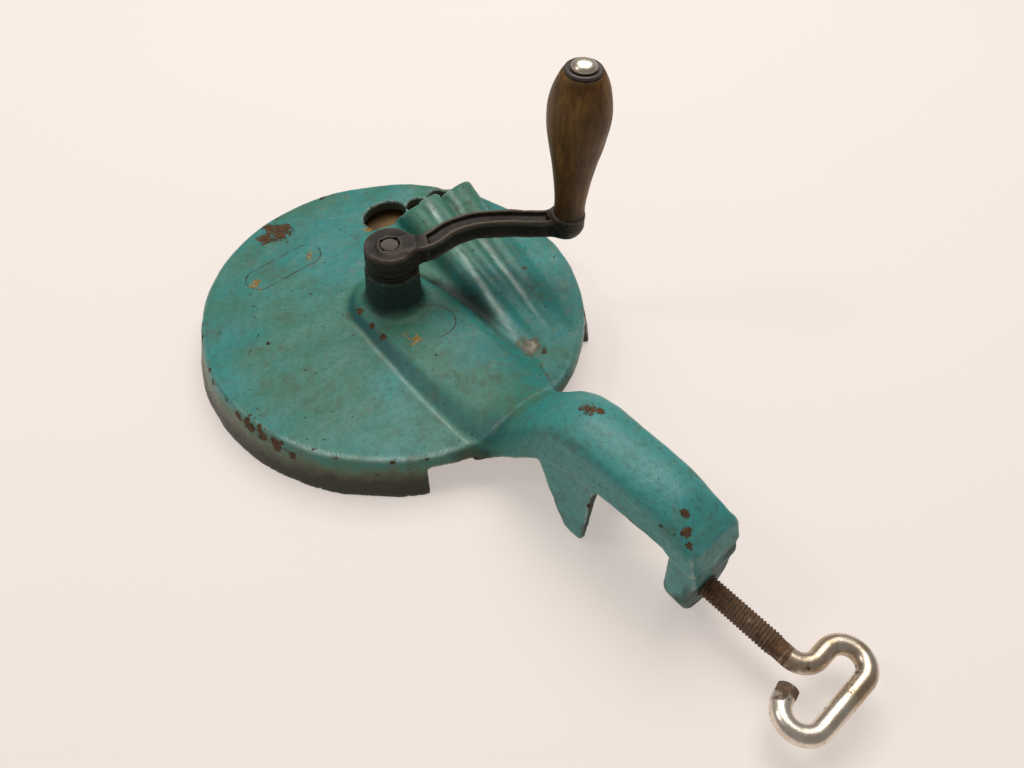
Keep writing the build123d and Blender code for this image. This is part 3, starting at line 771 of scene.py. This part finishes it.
class Graph:
    """Short way to write a node material."""

    def __init__(self, name):
        self.material = bpy.data.materials.new(name)
        self.material.use_nodes = True
        self.tree = self.material.node_tree
        self.shader = self.tree.nodes["Principled BSDF"]
        self.place = self.node("ShaderNodeTexCoord").outputs["Object"]

    def node(self, kind, settings=None, **inputs):
        made = self.tree.nodes.new(kind)
        for key, value in (settings or {}).items():
            setattr(made, key, value)
        for key, value in inputs.items():
            self.put(made, key.replace("_", " "), value)
        return made

    def put(self, made, key, value):
        socket = made.inputs[int(key)] if key.isdigit() else made.inputs[key]
        if isinstance(value, bpy.types.NodeSocket):
            self.tree.links.new(value, socket)
        else:
            socket.default_value = value

    def noise(self, scale, detail=4.0, roughness=0.55, distortion=0.0, place=None):
        made = self.node("ShaderNodeTexNoise", Scale=scale, Detail=detail, Roughness=roughness,
                         Distortion=distortion, Vector=place or self.place)
        return made.outputs["Fac"]

    def stretch(self, x, y, z):
        made = self.node("ShaderNodeMapping", Vector=self.place, Scale=(x, y, z))
        return made.outputs["Vector"]

    def math(self, operation, a, b=0.0, clamp=False):
        made = self.node("ShaderNodeMath", {"operation": operation, "use_clamp": clamp})
        self.put(made, "0", a)
        self.put(made, "1", b)
        return made.outputs[0]

    def times(self, a, b, clamp=False):
        return self.math("MULTIPLY", a, b, clamp)

    def plus(self, a, b, clamp=False):
        return self.math("ADD", a, b, clamp)

    def minus(self, a, b):
        return self.math("SUBTRACT", a, b)

    def swing(self, value, size):
        """A number from 0 to 1 moved to lie about 0, and scaled."""
        return self.times(self.minus(value, 0.5), size)

    def ramp(self, value, low, high):
        made = self.node("ShaderNodeMapRange", {"clamp": True}, Value=value)
        made.inputs["From Min"].default_value = low
        made.inputs["From Max"].default_value = high
        return made.outputs["Result"]

    def mix(self, factor, a, b):
        made = self.node("ShaderNodeMix", {"data_type": "RGBA"})
        self.put(made, "0", factor)
        self.put(made, "6", a if isinstance(a, bpy.types.NodeSocket) else (*a, 1))
        self.put(made, "7", b if isinstance(b, bpy.types.NodeSocket) else (*b, 1))
        return made.outputs[2]

    def number(self, name):
        return self.node("ShaderNodeAttribute", {"attribute_name": name}).outputs["Fac"]

    def axis(self, name):
        return self.node("ShaderNodeSeparateXYZ", Vector=self.place).outputs[name]

    def near(self, centre, reach):
        """1 at a point given in millimetres, falling to 0 at reach."""
        away = self.node("ShaderNodeVectorMath", {"operation": "DISTANCE"})
        self.put(away, "0", self.place)
        away.inputs[1].default_value = tuple(c * MM for c in centre)
        return self.ramp(away.outputs["Value"], reach * MM, 0.0)

    def largest(self, values):
        total = values[0]
        for value in values[1:]:
            total = self.math("MAXIMUM", total, value)
        return total

    def finish(self, color, roughness, height=None, depth=0.0002, **sockets):
        base = color if isinstance(color, bpy.types.NodeSocket) else (*color, 1)
        self.put(self.shader, "Base Color", base)
        self.put(self.shader, "Roughness", roughness)
        for key, value in sockets.items():
            self.put(self.shader, key.replace("_", " "), value)
        if height is not None:
            bump = self.node("ShaderNodeBump", Height=height, Strength=1.0, Distance=depth)
            self.put(self.shader, "Normal", bump.outputs["Normal"])
        return self.material


def pill_line(g, start, end, radius, width):
    """Thin outline of a pill-shaped transfer on the face, in plan, in millimetres."""
    flat = g.node("ShaderNodeVectorMath", {"operation": "MULTIPLY"})
    g.put(flat, "0", g.place)
    flat.inputs[1].default_value = (1, 1, 0)
    start, end = Vector((*start, 0)) * MM, Vector((*end, 0)) * MM
    along = end - start
    offset = g.node("ShaderNodeVectorMath", {"operation": "SUBTRACT"})
    g.put(offset, "0", flat.outputs[0])
    offset.inputs[1].default_value = start
    dot = g.node("ShaderNodeVectorMath", {"operation": "DOT_PRODUCT"})
    g.put(dot, "0", offset.outputs[0])
    dot.inputs[1].default_value = along / along.length_squared
    share = g.math("MAXIMUM", g.math("MINIMUM", dot.outputs["Value"], 1.0), 0.0)
    reach = g.node("ShaderNodeVectorMath", {"operation": "SCALE"})
    reach.inputs[0].default_value = along
    g.put(reach, "Scale", share)
    away = g.node("ShaderNodeVectorMath", {"operation": "DISTANCE"})
    g.put(away, "0", offset.outputs[0])
    g.put(away, "1", reach.outputs[0])
    rim = g.math("ABSOLUTE", g.minus(away.outputs["Value"], radius * MM))
    return g.ramp(rim, width * MM, width * MM * 0.4)


# Worn places of the enamel: centre and reach in millimetres
RUST_SPOTS = (
    ((-13, 80, 22), 11), ((-21, 81, 22), 8), ((-16, 87, 21), 6), ((33, -70, 22), 3.5),
    ((1, -124.5, 59), 5.5), ((3.5, -129, 60), 3), ((-5, -135, 58), 2.6), ((-5, -180, 57), 3.6),
    ((-8.5, -185, 54), 3.6), ((-11, -189, 51), 3), ((25, 51, 22), 5), ((88, -38, 16), 6), ((80, -52, 14), 8),
    ((70, -64, 16), 7), ((-20, -7, 26), 3.2), ((-20, -16, 26), 3.2), ((-18, 4, 26), 3.5),
    ((3, -94, 31), 1.4), ((6.7, -95, 31), 1.4), ((-9, -199, 8), 4),
)
# Enamel worn thin at the first flute's toe
TOE_PATCH = (30, -64, 23)
# Rust along the drum's edge: bearing in degrees, height, reach
RIM_RUST = ((153, 20, 2.6), (165, 20.5, 3), (169, 19, 3), (177, 19.5, 2.6), (-177, 18.5, 4.5), (-172, 18, 6),
            (-167, 18, 6), (-162, 17.5, 6.5), (-157, 15, 4), (-144, 21, 2.6), (-129, 20.5, 2.4),
            (-120, 20.5, 2.4), (77, 20.5, 4), (84, 21, 3), (67, 20.5, 3))
GOLD_SPOTS = (((-43, 54, 22), 8), ((-12, 56, 22), 8), ((-10, -27, 27), 9), ((23, 52, 22), 7))


def rim_spots():
    """Rust centres on the drum's edge."""
    radius = EDGE_RADIUS + 0.6
    return [((radius * math.cos(math.radians(a)), radius * math.sin(math.radians(a)), z), reach)
            for a, z, reach in RIM_RUST]


def paint_layers(g, fine, patch):
    """Sound enamel: blue and green mottling, painted shade on slopes that face -X, rubbed edges with painted
    highlights, painted highlight lines, and soft grime with painted shade and shadow.
    """
    edge, crease, soil_and_shade = g.number("edge"), g.number("crease"), g.number("soil_and_shade")
    along = g.axis("Y")
    broad = g.noise(22, 3, 0.5)
    arm = g.ramp(along, -0.085, -0.125)
    blue = g.plus(g.ramp(broad, 0.45, 0.60), g.times(arm, 0.5), clamp=True)
    paint = g.mix(blue, (0.030, 0.176, 0.122), (0.016, 0.212, 0.196))
    paint = g.mix(g.times(arm, 0.85), paint, (0.050, 0.262, 0.250))
    paint = g.mix(g.times(g.ramp(patch, 0.52, 0.70), 0.5), paint, (0.075, 0.235, 0.200))
    paint = g.mix(g.times(g.ramp(fine, 0.48, 0.68), 0.55), paint, (0.040, 0.105, 0.070))
    worn = g.times(g.ramp(g.noise(150, 4, 0.6), 0.56, 0.66), g.ramp(g.noise(18, 2, 0.5), 0.48, 0.62))
    paint = g.mix(g.times(worn, 0.35), paint, (0.16, 0.19, 0.12))
    # Painted shade on the slopes that face -X.
    paint = g.mix(g.times(g.number("shade"), 0.80), paint, (0.008, 0.082, 0.085))
    # Paler edges: partly rubbed enamel, partly a painted highlight.
    rubbed_and_highlit = g.times(g.ramp(g.plus(edge, g.times(fine, 0.4)), 0.62, 0.95), 0.75)
    paint = g.mix(rubbed_and_highlit, paint, (0.34, 0.43, 0.37))
    # Painted highlights: pale lines from the sheen number, broken by streaks.
    streaks = g.ramp(g.noise(1.0, 4, 0.6, 0.4, g.stretch(260, 60, 260)), 0.36, 0.62)
    sheen = g.times(g.number("sheen"), g.plus(0.35, g.times(streaks, 0.55)))
    paint = g.mix(sheen, paint, (0.50, 0.64, 0.58))
    spine = g.times(g.ramp(g.axis("Z"), 0.0245, 0.0262), g.ramp(along, -0.105, -0.085))
    olive = g.plus(g.times(crease, 1.1), g.times(g.ramp(patch, 0.50, 0.36), 0.55))
    olive = g.plus(olive, g.times(spine, 0.22))
    olive = g.times(olive, g.ramp(g.noise(190, 5, 0.65), 0.36, 0.60), clamp=True)
    paint = g.mix(g.times(olive, 0.8), paint, (0.075, 0.080, 0.030))
    # Darkening: grime, with painted shade round the boss and under the face's corners, and the crank's painted
    # shadow by the first flute.
    dark = g.plus(soil_and_shade, g.swing(g.noise(110, 5, 0.65), 0.9))
    dark = g.ramp(dark, 0.20, 0.95)
    return g.mix(g.times(dark, 0.93), paint, (0.010, 0.018, 0.014)), g.largest([olive, dark])


def skirt_layers(g, paint, fine):
    """Olive and then dark brown towards the drum's lower edge, and a little more at the front."""
    height = g.axis("Z")
    drum = g.ramp(g.axis("Y"), -0.104, -0.098)
    ragged = g.swing(g.noise(75, 5, 0.65), 0.9)
    level = g.minus(1.0, g.math("DIVIDE", height, 0.0215))
    olive = g.ramp(g.plus(level, ragged), 0.08, 0.42)
    front = g.times(g.ramp(g.axis("Y"), 0.02, -0.06), 0.22)
    brown = g.ramp(g.plus(g.plus(level, front), g.times(ragged, 0.8)), 0.50, 0.82)
    speck = g.plus(0.55, g.times(fine, 0.8), clamp=True)
    olive = g.times(g.times(olive, drum), g.times(speck, 0.85))
    brown = g.times(g.times(brown, drum), 0.93)
    paint = g.mix(olive, paint, (0.110, 0.105, 0.036))
    return g.mix(brown, paint, (0.013, 0.009, 0.003))


def rust_mask(g):
    """Where the enamel has gone: named spots, chips on edges, pits, and bare inside faces."""
    spots = g.largest([g.near(centre, reach) for centre, reach in (*RUST_SPOTS, *rim_spots())])
    ragged = g.plus(spots, g.swing(g.noise(230, 6, 0.72), 2.4))
    rusted = g.ramp(ragged, 0.40, 0.56)
    rusted = g.times(rusted, g.ramp(spots, 0.0, 0.12))
    chips = g.plus(g.times(g.number("edge"), 0.16), g.noise(240, 3, 0.5))
    chipped = g.ramp(chips, 0.735, 0.755)
    pits = g.ramp(g.noise(520, 2, 0.4), 0.735, 0.76)
    return rusted, chipped, pits


def enamel():
    """Worn turquoise enamel with grime, painted shade, shadow and highlights, chips and rust, and bare iron
    inside.
    """
    g = Graph("enamel_on_iron")
    fine, patch, grit = g.noise(420, 6, 0.65), g.noise(60, 5, 0.6, 0.4), g.noise(1500, 4, 0.6)
    bare = g.number("bare")
    paint, soil_and_shade = paint_layers(g, fine, patch)
    paint = skirt_layers(g, paint, fine)
    rusted, chipped, pits = rust_mask(g)
    rust = g.mix(g.ramp(fine, 0.38, 0.66), (0.030, 0.014, 0.005), (0.120, 0.050, 0.014))
    rust = g.mix(g.ramp(grit, 0.52, 0.78), rust, (0.17, 0.105, 0.036))
    chip = g.mix(g.ramp(patch, 0.4, 0.6), (0.018, 0.014, 0.010), (0.070, 0.032, 0.015))
    color = g.mix(g.times(pits, 0.8), paint, (0.015, 0.016, 0.012))
    color = g.mix(chipped, color, chip)
    color = g.mix(g.largest([rusted, bare]), color, rust)
    color = toe_patch(g, color)
    color = transfers(g, color, bare)
    lost = g.largest([rusted, chipped, pits, bare])
    rough = g.plus(g.times(fine, 0.24), g.times(lost, 0.4))
    rough = g.plus(rough, g.plus(0.27, g.times(soil_and_shade, 0.22)), clamp=True)
    relief = g.minus(g.times(fine, 0.45), g.times(lost, 0.6))
    relief = g.plus(relief, g.times(g.times(grit, 0.5), g.plus(lost, 0.2)))
    relief = g.plus(relief, g.times(patch, 0.9))
    return g.finish(color, rough, relief, 0.0004, Specular_IOR_Level=0.36)


def toe_patch(g, color):
    """Brown and then pale bare metal at the first flute's toe."""
    toe = g.plus(g.near(TOE_PATCH, 8), g.swing(g.noise(170, 6, 0.7), 2.4))
    toe = g.times(toe, g.ramp(g.near(TOE_PATCH, 9), 0.0, 0.2))
    color = g.mix(g.times(g.ramp(toe, 0.20, 0.60), 0.85), color, (0.100, 0.060, 0.022))
    return g.mix(g.times(g.ramp(toe, 0.62, 1.05), 0.85), color, (0.42, 0.35, 0.24))


def transfers(g, color, bare):
    """Remains of two plain pill-shaped transfers: broken outlines and gold flakes."""
    gold = g.largest([g.near(centre, reach) for centre, reach in GOLD_SPOTS])
    flakes = g.plus(gold, g.swing(g.noise(300, 5, 0.72), 4.0))
    flakes = g.times(g.ramp(flakes, 0.78, 0.88), g.ramp(gold, 0.0, 0.1))
    sound = g.minus(1.0, bare)
    gold_color = g.mix(g.ramp(g.noise(900, 3, 0.6), 0.4, 0.6), (0.11, 0.075, 0.012), (0.36, 0.20, 0.022))
    color = g.mix(g.times(flakes, sound), color, gold_color)
    whole = pill_line(g, (-39.5, 57.0), (-12.5, 56.8), 7.2, 0.55)
    half = pill_line(g, (-8.0, -22.0), (4.0, -24.5), 10.4, 0.5)
    half = g.times(half, g.ramp(g.axis("X"), -0.004, 0.002))
    outline = g.times(g.largest([whole, half]), g.ramp(g.noise(140, 3, 0.6), 0.36, 0.50))
    height = g.axis("Z")
    outline = g.times(outline, g.times(g.ramp(height, 0.0195, 0.0205),
                                                 g.ramp(height, 0.030, 0.028)))
    return g.mix(g.times(outline, 0.85), color, (0.022, 0.026, 0.014))


def black_iron():
    """Dark patinated iron with a faint brown bloom, and paler edges that are partly wear and partly a painted
    highlight.
    """
    g = Graph("black_iron")
    fine, broad = g.noise(500, 6, 0.65), g.noise(70, 4, 0.6)
    color = g.mix(g.ramp(broad, 0.38, 0.66), (0.008, 0.005, 0.003), (0.024, 0.014, 0.009))
    color = g.mix(g.times(g.ramp(fine, 0.55, 0.8), 0.6), color, (0.085, 0.050, 0.026))
    # Paler edges: partly worn metal, partly a painted highlight.
    color = g.mix(g.times(g.number("edge"), 0.6), color, (0.13, 0.10, 0.075))
    rough = g.plus(0.34, g.times(fine, 0.30))
    relief = g.plus(fine, broad)
    return g.finish(color, rough, relief, 0.00016, Metallic=0.35, Specular_IOR_Level=0.35)


def wood():
    """Brown varnished beech with grain along the grip, dark handled patches and a darker foot."""
    g = Graph("varnished_wood")
    g.place = centred(g, GRIP_AXIS)
    grain = g.noise(1.0, 6, 0.7, 0.6, g.stretch(520, 520, 26))
    pores = g.noise(1.0, 3, 0.5, 0.0, g.stretch(2600, 2600, 160))
    bands = g.noise(1.0, 3, 0.5, 1.2, g.stretch(130, 130, 9))
    cloud = g.noise(55, 4, 0.6)
    color = g.mix(g.ramp(bands, 0.36, 0.64), (0.085, 0.036, 0.006), (0.190, 0.092, 0.018))
    color = g.mix(g.times(g.ramp(grain, 0.45, 0.68), 0.7), color, (0.040, 0.016, 0.003))
    color = g.mix(g.times(g.ramp(cloud, 0.50, 0.70), 0.5), color, (0.034, 0.020, 0.005))
    color = g.mix(g.times(g.ramp(pores, 0.60, 0.72), 0.55), color, (0.010, 0.006, 0.002))
    # Darker towards the grip's foot.
    darker_foot = g.ramp(g.axis("Z"), (GRIP_LOW[2] + 16) * MM, GRIP_LOW[2] * MM)
    color = g.mix(g.times(darker_foot, 0.6), color, (0.028, 0.017, 0.007))
    rough = g.plus(0.34, g.times(cloud, 0.25))
    relief = g.minus(g.times(grain, -0.6), pores)
    return g.finish(color, rough, relief, 0.00012, Specular_IOR_Level=0.22)


def centred(g, centre):
    """Object coordinates measured from an upright axis."""
    made = g.node("ShaderNodeVectorMath", {"operation": "SUBTRACT"})
    g.put(made, "0", g.place)
    made.inputs[1].default_value = (centre[0] * MM, centre[1] * MM, 0)
    return made.outputs[0]


def nickel(name, rust_by_attribute):
    """Worn nickel plate with tarnish, dark pits and rust."""
    g = Graph(name)
    fine, broad, tarnish = g.noise(700, 5, 0.65), g.noise(120, 5, 0.6), g.noise(45, 4, 0.6)
    spots = g.ramp(g.plus(broad, g.times(fine, 0.3)), 0.76, 0.82)
    plate = g.mix(g.ramp(tarnish, 0.38, 0.62), (0.78, 0.70, 0.60), (0.42, 0.31, 0.20))
    plate = g.mix(g.times(spots, 0.9), plate, (0.05, 0.030, 0.018))
    lost = g.times(spots, 0.8)
    if rust_by_attribute:
        amount = g.plus(g.number("rust"), g.swing(broad, 2.2))
        rusted = g.ramp(amount, 0.40, 0.75)
        brown = g.mix(g.ramp(fine, 0.4, 0.7), (0.036, 0.014, 0.004), (0.160, 0.066, 0.017))
        plate = g.mix(g.times(rusted, 0.92), plate, brown)
        lost = g.largest([lost, rusted])
    metal = g.minus(1.0, g.times(lost, 0.95))
    rough = g.plus(0.20, g.plus(g.times(lost, 0.42), g.times(fine, 0.18)))
    relief = g.minus(g.times(fine, 0.5), spots)
    return g.finish(plate, rough, relief, 0.00012, Metallic=metal, Specular_IOR_Level=0.25)


def plain_metal(name, light, dark, rough_base, metallic=0.9, scale=400):
    """Steel or bare iron with mottling, fine scratches and pitting."""
    g = Graph(name)
    fine, broad = g.noise(scale, 6, 0.65), g.noise(scale / 8, 4, 0.6)
    scratch = g.noise(1.0, 3, 0.5, 0.0, g.stretch(scale * 4, scale / 6, scale))
    color = g.mix(g.ramp(broad, 0.35, 0.68), light, dark)
    color = g.mix(g.times(g.ramp(fine, 0.58, 0.75), 0.6), color, (0.060, 0.030, 0.014))
    rough = g.plus(rough_base, g.times(fine, 0.3))
    relief = g.plus(fine, g.times(scratch, 0.4))
    return g.finish(color, rough, relief, 0.0001, Metallic=metallic)


def paint_cad_nodes():
    """Materials of the CAD nodes that stay visible."""
    steel = plain_metal("oiled_steel", (0.36, 0.33, 0.30), (0.20, 0.17, 0.145), 0.28)
    blade = plain_metal("ground_steel", (0.56, 0.55, 0.53), (0.38, 0.36, 0.34), 0.18, 1.0, 700)
    iron = plain_metal("bare_iron", (0.17, 0.145, 0.125), (0.085, 0.062, 0.048), 0.42, 0.7, 300)
    dark = plain_metal("dark_steel", (0.085, 0.072, 0.065), (0.045, 0.034, 0.028), 0.32, 0.8, 500)
    by_slot = {"machined_steel": steel, "blade_steel": blade, "bare_iron": iron, "dark_steel": dark,
               "black_iron": iron, "worn_nickel": steel, "enamelled_iron": iron, "varnished_wood": iron}
    for row in frame["record"]["subparts"]:
        mesh = frame["nodes"][row["node"]].data
        mesh.materials.clear()
        mesh.materials.append(by_slot[row["material_slot"]])
    frame["nodes"]["drive_shaft"].data.materials[0] = dark
    frame["nodes"]["knife_disc"].data.materials[0] = plain_metal(
        "rusty_steel", (0.200, 0.115, 0.035), (0.070, 0.036, 0.012), 0.50, 0.2, 300)
    return dark


def place_piece(obj, body, node, material):
    """Put a new piece on its body, in place of its CAD node."""
    obj.data.materials.append(material)
    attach(obj, body)
    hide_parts(node)


def dress():
    """All pieces in place of their CAD nodes."""
    dark = paint_cad_nodes()
    place_piece(build_housing(), "housing", "housing", enamel())
    place_piece(build_crank(), "crank", "crank_arm", black_iron())
    place_piece(build_grip(), "grip", "handle_grip", wood())
    place_piece(build_cap(), "crank", "handle_washer", dark)
    place_piece(build_spindle(), "crank", "handle_spindle", nickel("domed_nickel", False))
    place_piece(build_screw(), "screw", "clamp_screw", nickel("rusted_nickel", True))


# Stage

def floor():
    """Plain pale floor, with a little light of its own so that shadows on it stay faint."""
    g = Graph("pale_floor")
    tone = g.noise(3.0, 2, 0.5)
    color = g.mix(tone, (0.47, 0.425, 0.395), (0.49, 0.44, 0.41))
    material = g.finish(color, 0.9, g.noise(300, 3, 0.6), 0.00005, Specular_IOR_Level=0.1,
                        Emission_Color=(0.86, 0.78, 0.725, 1), Emission_Strength=0.52)
    half = 6000.0
    corners = np.array(((-half, -half, 0), (half, -half, 0), (half, half, 0), (-half, half, 0)))
    obj = make_object("floor", corners, np.array(((0, 1, 2, 3),)), smooth=False)
    obj.data.materials.append(material)


def soft_light(name, place, size, power, color):
    """Square area light aimed at the object."""
    data = bpy.data.lights.new(name, "AREA")
    data.shape = "SQUARE"
    data.size = size
    data.energy = power
    data.color = color
    obj = bpy.data.objects.new(name, data)
    obj.location = place
    aim = Vector((0.0, -0.08, 0.02)) - Vector(place)
    obj.rotation_euler = aim.to_track_quat("-Z", "Y").to_euler()
    bpy.context.scene.collection.objects.link(obj)


def lights():
    """Large soft light overhead and behind, a smaller one on the left, and an even dim surround."""
    soft_light("overhead", (0.42, 0.30, 1.20), 1.0, 14.0, (1.0, 0.985, 0.96))
    soft_light("left", (-0.85, 0.78, 1.25), 0.28, 3.4, (1.0, 0.985, 0.96))
    world = bpy.data.worlds.new("studio")
    world.use_nodes = True
    background = world.node_tree.nodes["Background"]
    background.inputs["Color"].default_value = (1.0, 0.98, 0.96, 1)
    background.inputs["Strength"].default_value = 0.27
    bpy.context.scene.world = world
    bpy.context.scene.view_settings.view_transform = "Standard"


def camera():
    """Camera above the near left of the object, looking down at it."""
    azimuth, elevation, roll = math.radians(-45.17), math.radians(51.22), math.radians(2.98)
    distance, target = 0.4372, Vector((0.0211, -0.0618, 0.0))
    forward = Vector((-math.sin(azimuth) * math.cos(elevation), math.cos(azimuth) * math.cos(elevation),
                      -math.sin(elevation)))
    data = bpy.data.cameras.new("photo_view")
    data.sensor_width = 36.0
    data.lens = 31.64
    data.clip_start = 0.01
    obj = bpy.data.objects.new("photo_view", data)
    turn = forward.to_track_quat("-Z", "Y").to_matrix().to_4x4() @ Matrix.Rotation(roll, 4, "Z")
    obj.matrix_world = Matrix.Translation(target - forward * distance) @ turn
    bpy.context.scene.collection.objects.link(obj)
    bpy.context.scene.camera = obj


camera()
lights()
floor()
dress()
